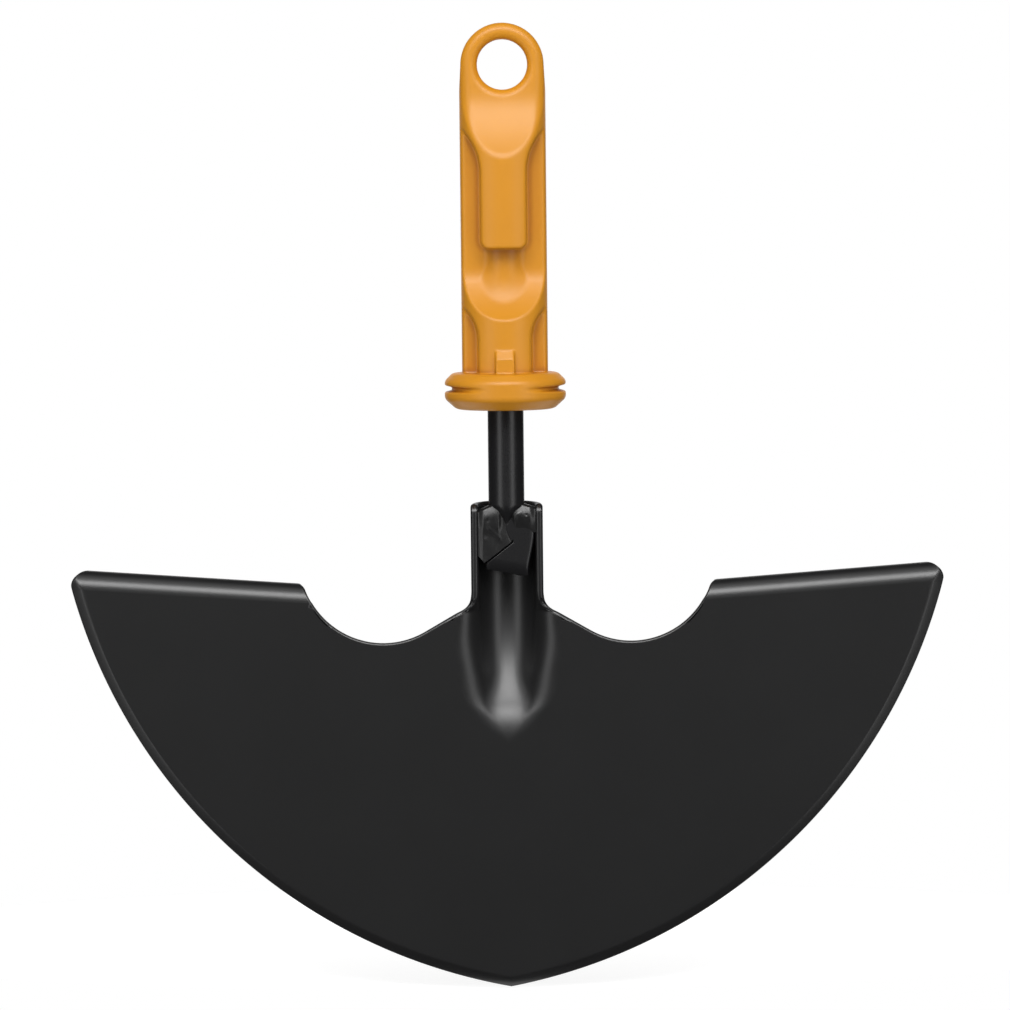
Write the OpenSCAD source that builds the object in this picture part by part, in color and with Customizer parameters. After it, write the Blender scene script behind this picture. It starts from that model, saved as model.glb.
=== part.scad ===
// Half moon lawn edger head: a pressed steel blade welded to a round bar, with a moulded coupling plug.
// Millimetres. The origin is on the plug's axis at the collar's seat face, +Z runs to the hanging hole.
// The blade hangs towards -Z and its face looks towards -Y.

/* [Blade sheet] */
// Thickness of the blade sheet
sheet_t = 2; // [1.6:0.1:2.5]
// Radius of each of the two cutting arcs
blade_r = 146.4; // [138:0.2:160]
// Distance that each arc's centre lies past the middle line
arc_shift = 26.4; // [18:0.2:34]
// Drop of the arcs' centres below the seat
arc_drop = 19.2; // [12:0.2:26]
// Width of the ground bevel along the cutting arcs
bevel_w = 2.6; // [1:0.1:5]
// Thickness left at the cutting edge
edge_land = 0.8; // [0.4:0.1:1.2]

/* [Treads] */
// Drop of each tread's inner end below the seat
tread_drop = 55.6; // [53:0.2:60]
// Upward slope of each tread towards its outer end, in degrees
tread_slope = 4.1; // [0:0.1:8]
// Depth of each tread from the blade's face to its rear edge
tread_depth = 11; // [7:0.5:16]
// Outside radius of the tread's bend
tread_bend_r = 4.8; // [3:0.1:6]
// Radius of the blade's outer corners
corner_r = 3.7; // [2:0.1:6]

/* [Scallops and neck] */
// Radius of the scallop between the neck and each tread
scallop_r = 21.9; // [19:0.1:23.5]
// Distance of each scallop's centre from the middle line
scallop_x = 32.8; // [31:0.1:37]
// Drop of each scallop's lowest point below the seat
scallop_drop = 71.3; // [68:0.1:76]
// Fall of the shoulder between the neck and the scallop, in degrees
shoulder_fall = 30; // [24:1:36]
// Outside width of the channel neck
neck_w = 19.1; // [18.2:0.1:21]
// Drop of the neck's top edge below the seat
neck_drop = 34.6; // [28:0.2:40]
// Radius of the fillet where the neck runs into the shoulder
neck_fillet = 6.3; // [4:0.1:8]
// Radius of the channel legs' front top corners
neck_corner_r = 1.6; // [0.8:0.1:2.2]
// Height of the channel legs in front of the bar's axis
leg_fwd = 2.5; // [1.5:0.1:4]
// Drop of the groove's lower end below the seat
groove_drop = 94; // [90:0.5:110]
// Drop below the seat at which the groove's floor starts to climb
climb_drop = 57.5; // [50:0.5:62]

/* [Bar] */
// Diameter of the round bar
rod_d = 9.5; // [8.4:0.1:10.4]
// Height of the bar's upper end inside the plug
rod_rise = 62; // [50:0.5:66]
// Length of the bar inside the neck
spade_len = 17.7; // [14:0.1:22]
// Thickness of the bar's flattened end
spade_t = 5; // [4:0.1:6]
// Space between the flattened end and the channel wall
spade_gap = 0.3; // [0.1:0.05:0.6]
// Length of round bar inside the neck
spade_start = 1.2; // [0.4:0.1:3]
// Length over which the bar turns from round to flat
spade_turn = 5.2; // [3:0.1:7]
// Narrowing of the flattened end on each side
spade_taper = 0.8; // [0.2:0.1:1.5]
// Corner cut at the tip of the flattened end
spade_nose = 1.5; // [0.5:0.1:3]
// Depth of the anchor grooves turned in the moulded-in end
anchor_cut = 0.8; // [0.4:0.1:1.2]
// Width of each anchor groove
anchor_w = 2.4; // [1.5:0.1:4]
// Distance of the first anchor groove from the bar's upper end
anchor_end = 8; // [5:0.5:12]
// Distance between the two anchor grooves
anchor_step = 12; // [8:0.5:16]

/* [Welds] */
// Length of the left weld
weld_left_len = 12; // [9:0.5:14]
// Length of the right weld
weld_right_len = 7; // [5:0.5:9]
// Drop of the welds' top below the neck's top edge
weld_set = 0.3; // [0.1:0.1:1]
// Height of the welds' crown behind the front of the bar
weld_crown = 0.4; // [0.1:0.1:1]
// Bare strip of bar between the two crowns
weld_strip = 3.6; // [2.4:0.1:5]
// Space between the two welds
weld_part = 1.2; // [0.6:0.1:2]
// Depth of the welds' toe on the channel legs behind the blade's face
weld_toe = 0.6; // [0.2:0.1:1.2]
// Depth of the welds behind the bar's axis
weld_back = 1.5; // [0.5:0.1:2.5]
// Height of the welds' sloping upper end
weld_slope = 3.4; // [1.5:0.1:5]
// Thickness of the weld tongue that laps the flattened end
weld_lap = 0.8; // [0.4:0.1:1.2]
// Length of the weld tongue along its left side
tongue_len = 8.6; // [6:0.1:10]
// Rise of the tongue's lower edge from left to right
tongue_rise = 4.9; // [2:0.1:6]
// Reach of the tongue past the middle line
tongue_reach = 1.5; // [0.5:0.1:3]

/* [Coupling plug] */
// Diameter of the plug
plug_d = 22.7; // [21.5:0.1:25]
// Height of the hanging hole's centre above the seat
hole_rise = 81.1; // [79:0.1:92]
// Diameter of the hanging hole
hole_d = 13.2; // [10:0.1:14]
// Flare of the hanging hole at each mouth
hole_flare = 2; // [0.5:0.1:2.4]
// Thickness of the lug around the hanging hole
lug_t = 9; // [8:0.1:12]
// Outside radius of the lug
lug_r = 10.95; // [10:0.05:11.2]
// Flat between the hole's mouth and the scoop below it
lug_flat = 0.5; // [0.2:0.1:1.5]
// Thickness of the web between the side pockets
web_t = 6.8; // [5:0.1:8.5]
// Height of the raised land's upper end above the seat
land_top = 57; // [53:0.2:60]
// Height of the catch edge above the seat
catch_rise = 32.9; // [30:0.1:38]
// Side wall of the raised land beside the bar's sheath
land_wall = 0.3; // [0.1:0.05:1.5]
// Corner radius at the raised land's catch edge
land_corner_r = 1.2; // [0.5:0.1:2.5]
// Radius of the upper pockets' curved ends
pocket_top_r = 16; // [12:0.5:20]
// Length of the land's straight sides
land_side = 19.8; // [15:0.2:22]
// Height of the latch ramp's foot above the seat
ramp_rise = 14.1; // [12:0.1:17]
// Length of the latch ramp along the axis
ramp_len = 11.4; // [8:0.1:13]
// Width of the lower land
foot_w = 14; // [12:0.1:16]
// Height at which the lower land starts to widen
foot_rise = 9.1; // [7:0.1:11]
// Radius of the lower pockets' curved ends
pocket_foot_r = 10.3; // [8:0.1:13]
// Wall of plastic around the bar in the latch recess
rod_skin = 0.95; // [0.8:0.05:1.1]
// Width of the key rib
key_w = 5; // [3:0.1:7]
// Height of the key rib above the seat
key_rise = 6.2; // [4:0.1:8]
// Height of the key rib over the plug's surface
key_proud = 1.3; // [0.6:0.1:1.8]
// Length of the key rib's lead-in slope
key_lead = 2.3; // [1:0.1:3.5]

/* [Collar] */
// Diameter of the collar
collar_d = 32; // [30:0.1:36]
// Height of the collar
collar_h = 9.6; // [8.5:0.1:12]
// Width of the break around the seat face
seat_break = 2.2; // [1:0.1:2.4]
// Width of the steeper lip below that break
seat_lip = 0.4; // [0.2:0.1:0.8]
// Height of the chamfer under the collar
foot_break = 2.8; // [1.5:0.1:3.2]
// Width of the chamfer under the collar
foot_run = 3.1; // [1.5:0.1:4]
// Drop of the two side grooves below the seat
groove_level = 4.1; // [3.6:0.1:5]
// Depth of the two side grooves
groove_deep = 1.9; // [1:0.1:2.4]
// Width of the side grooves at their floor
groove_floor_w = 0.85; // [0.5:0.05:1.2]
// Width of the side grooves at their mouth
groove_mouth_w = 1.8; // [1.4:0.1:2.4]
// Offset of the side grooves' own circle from the axis
groove_shift = 3.5; // [2:0.1:5]

/* [Hidden] */
$fn = 96;

// Overlap of pieces that are joined, and reach of cuts past a surface
lap = sheet_t / 2;
// A length that reaches past the whole part
past = blade_r;

// Planes of the blade sheet and radii of its channel
face_y = -leg_fwd;
rear_y = face_y + sheet_t;
tread_rear_y = face_y + tread_depth;
chan_ri = neck_w / 2 - sheet_t;
chan_ro = neck_w / 2;
neck_z = -neck_drop;
climb_z = -climb_drop;

// The groove's floor climbs to the face on an arc, whose centre line stands in front of the blade
climb_h = chan_ri + leg_fwd;
climb_len = groove_drop - climb_drop;
climb_floor_r = (climb_len * climb_len + climb_h * climb_h) / (2 * climb_h);
climb_axis = climb_floor_r - chan_ri;
climb_turn = 60;

// Scallop, shoulder and fillet points in the blade's own plane
sc = [scallop_x, scallop_r - scallop_drop];
sh_n = [sin(shoulder_fall), cos(shoulder_fall)];
sc_in = sc - scallop_r * sh_n;
neck_foot_z = sc_in[1] + (sc_in[0] - chan_ro) * tan(shoulder_fall);
fil = [chan_ro + neck_fillet, neck_foot_z + neck_fillet * (1 - sh_n[0]) / sh_n[1]];
fil_on_shoulder = fil - neck_fillet * sh_n;

// Tread line: its inner end and its directions
tr_u = [cos(tread_slope), sin(tread_slope)];
tr_n = [-sin(tread_slope), cos(tread_slope)];
tr_dz = -tread_drop - sc[1];
tr_o = [sc[0] + sqrt(scallop_r * scallop_r - tr_dz * tr_dz), -tread_drop];
tr_in = scallop_r / 4;

// Rounded outer corner between a tread and its cutting arc
arc_c = [-arc_shift, -arc_drop];
co_r = blade_r - corner_r;
co_q = tr_o - corner_r * tr_n - arc_c;
co_b = co_q * tr_u;
co_p = arc_c + co_q + (-co_b + sqrt(co_b * co_b - co_q * co_q + co_r * co_r)) * tr_u;
co_rad = (co_p - arc_c) / norm(co_p - arc_c);

// Bar
rod_r = rod_d / 2;
rod_end_z = neck_z - spade_len;
spade_hw = sqrt(chan_ri * chan_ri - spade_t * spade_t / 4) - spade_gap;
spade_top_z = neck_z - spade_start;
spade_full_z = spade_top_z - spade_turn;
spade_top_hw = sqrt(rod_r * rod_r - spade_t * spade_t / 4);

// Welds
weld_top_z = neck_z - weld_set;
weld_front = rod_r - weld_crown;
tongue_top_z = spade_full_z;
tongue_low_z = tongue_top_z - tongue_len;

// Plug
plug_r = plug_d / 2;
hole_r = hole_d / 2;
boss_r = rod_r + rod_skin;
far_r = plug_r + lap;
plug_top = hole_rise + lug_r + lap;
scoop_top = hole_rise - hole_r - hole_flare - lug_flat;
land_turn = catch_rise + land_side;
land_hw = boss_r + land_wall;
ramp_top = ramp_rise + ramp_len;

// Draws a flat shape of x and z values through y0 to y1
module through_y(y0, y1) {
  translate([0, y1, 0])
    rotate([90, 0, 0])
      linear_extrude(y1 - y0)
        children();
}

// Draws a flat shape of y and z values through x0 to x1
module through_x(x0, x1) {
  translate([x0, 0, 0])
    rotate([90, 0, 90])
      linear_extrude(x1 - x0)
        children();
}

module both_sides() {
  children();
  mirror([1, 0, 0])
    children();
}

// Blade

// A disc with the ground bevel, whose rim is one cutting arc
module edge_disc() {
  translate([-arc_shift, 0, -arc_drop])
    rotate([-90, 0, 0])
      rotate_extrude($fn = 180)
        polygon([
          [0, face_y],
          [blade_r - bevel_w, face_y],
          [blade_r, rear_y - edge_land],
          [blade_r, tread_rear_y + lap],
          [0, tread_rear_y + lap]
        ]);
}

// Right half of the flat sheet, which ends inside the straight part of the tread, just below its bend
module sheet_outline() {
  bend_line = tr_o - (tread_bend_r + lap / 2) * tr_n;
  difference() {
    polygon([
      [-lap, fil[1]],
      fil,
      fil_on_shoulder,
      sc_in,
      sc,
      bend_line - tr_in * tr_u,
      bend_line + past * tr_u,
      [bend_line[0] + past, -2 * past],
      [-lap, -2 * past]
    ]);
    translate(fil)
      circle(neck_fillet);
    translate(sc)
      circle(scallop_r);
  }
}

module tread_profile() {
  translate([face_y, -tread_bend_r - lap])
    square([sheet_t, lap]);
  translate([face_y + tread_bend_r, -sheet_t])
    square([tread_depth - tread_bend_r, sheet_t]);
  intersection() {
    translate([face_y, -tread_bend_r])
      square(tread_bend_r);
    translate([face_y + tread_bend_r, -tread_bend_r])
      difference() {
        circle(tread_bend_r);
        circle(tread_bend_r - sheet_t);
      }
  }
}

module tread() {
  difference() {
    translate([tr_o[0], 0, tr_o[1]])
      rotate([0, -tread_slope, 0])
        through_x(-tr_in, past)
          tread_profile();
    through_y(face_y - lap, tread_rear_y + lap)
      translate(sc)
        circle(scallop_r);
  }
}

module corner_waste() {
  through_y(face_y - lap, tread_rear_y + 2 * lap)
    difference() {
      polygon([
        co_p,
        co_p + 2 * corner_r * tr_n,
        co_p + 2 * corner_r * tr_n + 8 * corner_r * tr_u,
        co_p + 8 * corner_r * co_rad
      ]);
      translate(co_p)
        circle(corner_r);
    }
}

module channel_section(r) {
  circle(r);
  translate([-r, -2 * neck_w])
    square([2 * r, 2 * neck_w]);
}

// The channel runs straight down the neck, then climbs towards the blade's face
module channel(r, top) {
  translate([0, 0, climb_z])
    linear_extrude(top - climb_z)
      channel_section(r);
  translate([0, -climb_axis, climb_z])
    rotate([-90, 0, 0])
      rotate([0, -90, 0])
        rotate_extrude(angle = climb_turn)
          translate([climb_axis, 0])
            rotate(-90)
              channel_section(r);
}

module leg_corner_waste() {
  through_x(-neck_w, neck_w)
    difference() {
      translate([face_y - lap, neck_z - neck_corner_r])
        square([neck_corner_r + lap, neck_corner_r + lap]);
      translate([face_y + neck_corner_r, neck_z - neck_corner_r])
        circle(neck_corner_r);
    }
}

module blade() {
  color([0.14, 0.14, 0.15])
    difference() {
      union() {
        difference() {
          intersection() {
            edge_disc();
            mirror([1, 0, 0])
              edge_disc();
            union() {
              through_y(face_y, rear_y)
                both_sides()
                  sheet_outline();
              both_sides()
                tread();
            }
          }
          both_sides()
            corner_waste();
        }
        intersection() {
          channel(chan_ro, neck_z);
          translate([-past / 2, face_y, neck_z - past])
            cube(past);
        }
      }
      channel(chan_ri, neck_z + lap);
      leg_corner_waste();
    }
}

// Bar

module rod_shank() {
  difference() {
    translate([0, 0, rod_end_z])
      cylinder(r = rod_r, h = rod_rise - rod_end_z);
    for (z = [rod_rise - anchor_end, rod_rise - anchor_end - anchor_step])
      translate([0, 0, z])
        difference() {
          cylinder(r = rod_r + lap, h = anchor_w);
          cylinder(r = rod_r - anchor_cut, h = anchor_w);
        }
  }
}

module spade_half() {
  polygon([
    [-lap, spade_top_z],
    [spade_top_hw, spade_top_z],
    [spade_hw, spade_full_z],
    [spade_hw - spade_taper, rod_end_z + spade_nose],
    [spade_hw - spade_taper - spade_nose, rod_end_z],
    [-lap, rod_end_z]
  ]);
}

// Side view of the bar, round above and pressed flat below
module rod_side_half() {
  polygon([
    [-lap, rod_rise],
    [rod_r + lap, rod_rise],
    [rod_r + lap, spade_top_z],
    [spade_t / 2, spade_full_z],
    [spade_t / 2, rod_end_z],
    [-lap, rod_end_z]
  ]);
}

module tang_rod() {
  color([0.10, 0.10, 0.11]) {
    intersection() {
      rod_shank();
      through_x(-rod_r - lap, rod_r + lap)
        both_sides()
          rod_side_half();
    }
    through_y(-spade_t / 2, spade_t / 2)
      both_sides()
        spade_half();
  }
}

// Welds

// One fillet of weld on the right of the bar, with a sloping upper end
module weld_fillet(len) {
  intersection() {
    translate([0, 0, weld_top_z - len])
      linear_extrude(len)
        polygon([
          [weld_part / 2, weld_back],
          [weld_part / 2, -weld_front],
          [weld_strip / 2, -weld_front],
          [chan_ri + lap, face_y + weld_toe],
          [chan_ri + lap, weld_back]
        ]);
    through_x(0, chan_ro)
      polygon([
        [weld_back + lap, weld_top_z],
        [0, weld_top_z],
        [-rod_r, weld_top_z - weld_slope],
        [-rod_r, weld_top_z - len],
        [weld_back + lap, weld_top_z - len]
      ]);
    channel(chan_ri, neck_z);
  }
}

// The thin tongue of weld that laps the flattened end on the left
module weld_tongue() {
  through_y(-spade_t / 2 - weld_lap, -spade_t / 2)
    polygon([
      [-weld_part / 2, tongue_top_z],
      [tongue_reach, tongue_low_z + tongue_rise],
      [-spade_hw + spade_taper, tongue_low_z],
      [-spade_hw, tongue_top_z]
    ]);
}

module weld_left() {
  color([0.17, 0.17, 0.18])
    difference() {
      union() {
        mirror([1, 0, 0])
          weld_fillet(weld_left_len);
        weld_tongue();
      }
      tang_rod();
    }
}

module weld_right() {
  color([0.17, 0.17, 0.18])
    difference() {
      weld_fillet(weld_right_len);
      tang_rod();
    }
}

// Coupling plug

module plug_outline() {
  polygon([
    [-far_r, -lap],
    [far_r, -lap],
    [far_r, land_top],
    [lug_r, hole_rise],
    [-lug_r, hole_rise],
    [-far_r, land_top]
  ]);
  translate([0, hole_rise])
    circle(lug_r);
}

module plug_envelope() {
  intersection() {
    translate([0, 0, -lap])
      cylinder(r = plug_r, h = plug_top + lap);
    through_y(-far_r, far_r)
      plug_outline();
  }
}

// Front outline of a land that widens to the plug's full width at height turn, above a straight foot
module land_outline(half_w, low, turn, high, turn_r) {
  difference() {
    union() {
      translate([-far_r, turn])
        square([2 * far_r, high - turn]);
      translate([-half_w, low])
        square([2 * half_w, high - low]);
    }
    for (s = [-1, 1])
      translate([s * (half_w + turn_r), turn])
        circle(turn_r);
  }
}

module catch_corners() {
  for (s = [0, 1])
    mirror([s, 0, 0])
      translate([land_hw - land_corner_r, catch_rise + land_corner_r])
        difference() {
          translate([0, -land_corner_r - lap])
            square(land_corner_r + lap);
          circle(land_corner_r);
        }
}

// Side view of the head above height low, with the scoop below the lug, for one face of the plug
module head_side(low) {
  polygon([
    [0, low],
    [far_r, low],
    [far_r, land_top],
    [plug_r, land_top],
    [lug_t / 2, scoop_top],
    [lug_t / 2, plug_top],
    [0, plug_top]
  ]);
}

// Side view of the lower land and the latch ramp
module foot_side() {
  polygon([
    [0, -lap],
    [far_r, -lap],
    [far_r, ramp_rise],
    [plug_r, ramp_rise],
    [web_t / 2, ramp_top],
    [0, ramp_top]
  ]);
}

module front_mass() {
  intersection() {
    through_y(-far_r, 0)
      difference() {
        land_outline(land_hw, catch_rise, land_turn, plug_top, pocket_top_r);
        catch_corners();
      }
    through_x(-far_r, far_r)
      mirror([1, 0])
        head_side(catch_rise);
  }
  intersection() {
    through_y(-far_r, 0)
      land_outline(foot_w / 2, -lap, foot_rise, ramp_top, pocket_foot_r);
    through_x(-far_r, far_r)
      mirror([1, 0])
        foot_side();
  }
}

module rear_mass() {
  intersection() {
    through_y(0, far_r)
      land_outline(land_hw, -lap, land_turn, plug_top, pocket_top_r);
    through_x(-far_r, far_r)
      head_side(-lap);
  }
}

module web() {
  translate([-far_r, -web_t / 2, -lap])
    cube([2 * far_r, web_t, scoop_top + lap]);
}

module rod_boss() {
  translate([0, 0, -lap])
    cylinder(r = boss_r, h = land_turn + lap);
}

module key_rib() {
  through_x(-key_w / 2, key_w / 2)
    polygon([
      [-boss_r, -lap],
      [-plug_r - key_proud, -lap],
      [-plug_r - key_proud, key_rise - key_lead],
      [-plug_r, key_rise],
      [-boss_r, key_rise]
    ]);
}

module hanging_hole() {
  translate([0, 0, hole_rise])
    rotate([90, 0, 0])
      translate([0, 0, -far_r])
        cylinder(r = hole_r, h = 2 * far_r);
  for (s = [0, 180])
    translate([0, 0, hole_rise])
      rotate([90, 0, s])
        translate([0, 0, lug_t / 2 - hole_flare])
          cylinder(r1 = hole_r, r2 = hole_r + 2 * hole_flare, h = 2 * hole_flare);
}

module side_groove() {
  floor_r = collar_d / 2 + groove_shift - groove_deep;
  flare = (groove_mouth_w - groove_floor_w) / 2;
  translate([-groove_shift, 0, -groove_level])
    rotate_extrude()
      polygon([
        [floor_r, -groove_floor_w / 2],
        [floor_r + 2 * groove_deep, -groove_floor_w / 2 - 2 * flare],
        [floor_r + 2 * groove_deep, groove_floor_w / 2 + 2 * flare],
        [floor_r, groove_floor_w / 2]
      ]);
}

module collar() {
  rim = collar_d / 2;
  difference() {
    rotate_extrude()
      polygon([
        [0, 0],
        [rim - seat_break, 0],
        [rim - seat_lip, seat_lip - seat_break],
        [rim, -seat_break],
        [rim, foot_break - collar_h],
        [rim - foot_run, -collar_h],
        [0, -collar_h]
      ]);
    both_sides()
      side_groove();
  }
}

module coupling_plug() {
  color([0.93, 0.55, 0.12])
    difference() {
      union() {
        intersection() {
          plug_envelope();
          union() {
            front_mass();
            rear_mass();
            web();
            rod_boss();
          }
        }
        key_rib();
        collar();
      }
      hanging_hole();
      rod_shank();
    }
}

blade();
tang_rod();
weld_left();
weld_right();
coupling_plug();
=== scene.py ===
# %% [markdown]
# A half moon edger head
#
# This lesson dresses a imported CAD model: a pressed steel blade, welded to a round bar, with an orange plug
# moulded onto it. The CAD frame is loaded first and stays fixed. Every surface is worked out with numpy in
# millimetres, in the CAD's own coordinates, and becomes metres as it goes into its mesh.

# %% Load the frame
import math

import bmesh
import bpy
import numpy as np
from mathutils import Matrix, Vector


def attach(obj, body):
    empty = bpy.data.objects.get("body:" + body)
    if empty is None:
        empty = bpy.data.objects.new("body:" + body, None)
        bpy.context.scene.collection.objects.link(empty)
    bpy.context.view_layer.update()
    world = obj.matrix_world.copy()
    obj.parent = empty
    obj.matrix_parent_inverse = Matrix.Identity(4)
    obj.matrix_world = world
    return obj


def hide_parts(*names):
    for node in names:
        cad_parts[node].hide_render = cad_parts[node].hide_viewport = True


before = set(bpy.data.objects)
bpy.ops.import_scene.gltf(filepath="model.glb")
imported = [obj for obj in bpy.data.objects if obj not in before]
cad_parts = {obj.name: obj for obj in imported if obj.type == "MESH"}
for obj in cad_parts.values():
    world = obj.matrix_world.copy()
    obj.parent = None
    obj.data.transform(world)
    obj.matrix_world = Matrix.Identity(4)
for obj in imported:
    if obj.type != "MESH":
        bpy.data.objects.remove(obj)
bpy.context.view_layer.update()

MM = 0.001
print("nodes:", sorted(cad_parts))

# %% [markdown]
# The camera stands straight in front, a little above the middle, with a long lens, as for a catalogue
# picture. The lens follows from how much the picture's width takes in. The small roll splits the difference
# between blade and plug, which lean apart a little on the photographed one.

# %% Camera
PICTURE_WIDTH = 0.2671
CAMERA_AWAY = 1.6
CAMERA_RISE = math.radians(3.75)
CAMERA_ROLL = math.radians(-0.6)
LOOK_AT = np.array([-0.0004, 0.0, -0.0351])
SENSOR = 36.0


def new_object(name, data):
    """An object in the scene, at the origin, that shows the given mesh, lamp or camera."""
    thing = bpy.data.objects.new(name, data)
    bpy.context.scene.collection.objects.link(thing)
    return thing


lens = bpy.data.cameras.new("front_camera")
lens.sensor_width = SENSOR
lens.lens = SENSOR * CAMERA_AWAY / PICTURE_WIDTH
camera = new_object("front_camera", lens)
bpy.context.scene.camera = camera
away = np.array([0.0, -math.cos(CAMERA_RISE), math.sin(CAMERA_RISE)]) * CAMERA_AWAY
camera.matrix_world = (
    Matrix.Translation(LOOK_AT + away)
    @ Matrix.Rotation(math.pi / 2 - CAMERA_RISE, 4, "X")
    @ Matrix.Rotation(CAMERA_ROLL, 4, "Z")
)
bpy.context.scene.view_settings.view_transform = "Standard"
print("lens", round(lens.lens, 1), "mm")

# %% [markdown]
# A few helpers number the quads of a grid, join grids, put them into a mesh and wire shader nodes, so that
# the cells below stay about shapes and finishes.

# %% Helpers for meshes
MERGE, SLIVER = 1e-6, 1e-7


def grid_faces(rows, cols, wrap=False):
    """Quads of a grid of points stored row after row. With wrap the last column joins the first one."""
    i = np.arange(rows - 1)[:, None]
    j = np.arange(cols if wrap else cols - 1)[None, :]
    a = i * cols + j
    b = i * cols + (j + 1) % cols
    return np.stack([a, b, b + cols, a + cols], -1).reshape(-1, 4)


def join(grids, wrap=False):
    """Points and quads of several grids of shape (rows, columns, 3), one after the other."""
    points, faces, start = [], [], 0
    for g in grids:
        points.append(g.reshape(-1, 3))
        faces.append(grid_faces(g.shape[0], g.shape[1], wrap) + start)
        start += g.shape[0] * g.shape[1]
    return np.concatenate(points), np.concatenate(faces)


def xyz(x, y, z):
    """Points from their coordinates, which may be grids, rows, columns or single numbers."""
    return np.stack(np.broadcast_arrays(x, y, z), -1)


def full_turn(count):
    """Even angles round a full turn, as one row."""
    return np.linspace(0, 2 * np.pi, count + 1)[None, :-1]


def make_piece(name, shape, node, material):
    """A closed mesh at the origin that stands for a CAD node, its faces turned outwards."""
    points, faces = shape
    mesh = bpy.data.meshes.new(name)
    mesh.from_pydata((points * MM).tolist(), [], faces.tolist())
    bm = bmesh.new()
    bm.from_mesh(mesh)
    bmesh.ops.remove_doubles(bm, verts=bm.verts, dist=MERGE)
    bmesh.ops.dissolve_degenerate(bm, edges=bm.edges, dist=SLIVER)
    bmesh.ops.recalc_face_normals(bm, faces=bm.faces)
    bm.to_mesh(mesh)
    open_edges = sum(e.is_boundary for e in bm.edges)
    bm.free()
    mesh.shade_smooth()
    piece = new_object(name, mesh)
    mesh.materials.append(material)
    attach(piece, "root")
    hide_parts(node)
    print(name, len(mesh.vertices), "points", len(mesh.polygons), "faces", open_edges, "open edges")
    return piece


def read_points(mesh, what):
    """The co (places) or normal (outward ways) of a mesh's points, in rows of three."""
    rows = np.empty(len(mesh.vertices) * 3)
    mesh.vertices.foreach_get(what, rows)
    return rows.reshape(-1, 3)


# %% Helpers for shader nodes
def node_adder(tree):
    """Empties a node tree and returns a function that adds a node, and sets its sockets or links them to
    the first output of other nodes."""
    tree.nodes.clear()

    def add(kind, sockets=None, **settings):
        node = tree.nodes.new("ShaderNode" + kind)
        for key, value in settings.items():
            setattr(node, key, value)
        for key, value in (sockets or {}).items():
            if isinstance(value, bpy.types.Node):
                value = value.outputs[0]
            if isinstance(value, bpy.types.NodeSocket):
                tree.links.new(value, node.inputs[key])
            else:
                node.inputs[key].default_value = value
        return node

    return add


def new_material(name):
    """An empty material, and the function that adds nodes to it."""
    material = bpy.data.materials.new(name)
    material.use_nodes = True
    print("material", name)
    return material, node_adder(material.node_tree)


# %% [markdown]
# The stage is a pale floor under the blade's tip. For the camera and for reflections it adds a white glow
# to its own colour, so the background is white and a soft contact shadow still shows. It fades to plain
# white at its rim.

# %% Floor
FLOOR_Z = -163.8
FLOOR_WIDE, FLOOR_DEEP, FLOOR_BACK = 200.0, 108.0, 105.0
FLOOR_TURNS, FLOOR_RINGS = 96, 24
FLOOR_MIDDLE, FLOOR_INNER, FLOOR_RIM = 0.0001, 0.12, 0.12
GLOW, PALE = 0.62, 0.62
WHITE = (1, 1, 1, 1)


def seen(add):
    """The light path's node, and a node that gives 1 for rays from the camera or through glass, else 0."""
    path = add("LightPath")
    sight = add("Math", {0: path.outputs["Is Camera Ray"], 1: path.outputs["Is Transmission Ray"]},
                operation="MAXIMUM")
    return path, sight


floor_finish, add = new_material("pale_floor")
path, sight = seen(add)
shows = add("Math", {0: sight, 1: path.outputs["Is Glossy Ray"]}, operation="MAXIMUM")
glow_level = add("Math", {0: shows, 1: GLOW}, operation="MULTIPLY")
glow = add("Emission", {"Color": WHITE, "Strength": glow_level})
pale = add("BsdfDiffuse", {"Color": (PALE, PALE, PALE, 1)})
both = add("AddShader", {0: glow, 1: pale})
white = add("Emission", {"Color": WHITE, "Strength": shows})
rim = add("Attribute", attribute_name="rim")
faded = add("MixShader", {0: rim.outputs["Fac"], 1: both, 2: white})
add("OutputMaterial", {"Surface": faded})

turn = full_turn(FLOOR_TURNS)
out = np.append(FLOOR_MIDDLE, np.linspace(FLOOR_INNER, 1, FLOOR_RINGS - 1))[:, None]
floor_x = FLOOR_WIDE * out * np.cos(turn)
floor_y = FLOOR_BACK + FLOOR_DEEP * out * np.sin(turn)
points, faces = join([xyz(floor_x, floor_y, FLOOR_Z)], wrap=True)
mesh = bpy.data.meshes.new("floor")
mesh.from_pydata((points * MM).tolist(), [], faces.tolist())
mesh.materials.append(floor_finish)
fade = mesh.attributes.new("rim", "FLOAT", "POINT")
rim_share = np.clip(1 - (1 - out[:, 0]) / FLOOR_RIM, 0, 1)
fade.data.foreach_set("value", np.repeat(rim_share, FLOOR_TURNS))
floor = new_object("floor", mesh)
print("floor", len(points), "points at z", FLOOR_Z)

# %% [markdown]
# Past the floor the world is white for the camera too. Reflections see white only behind the object, and a
# grey ceiling over the camera, as in a dim studio with a white backdrop.

# %% World
ROOM = 0.40
ROOM_GLOSS = 0.036
CEILING, CEILING_WAY = 0.75, (0.0, -0.6, 0.8)

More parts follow.
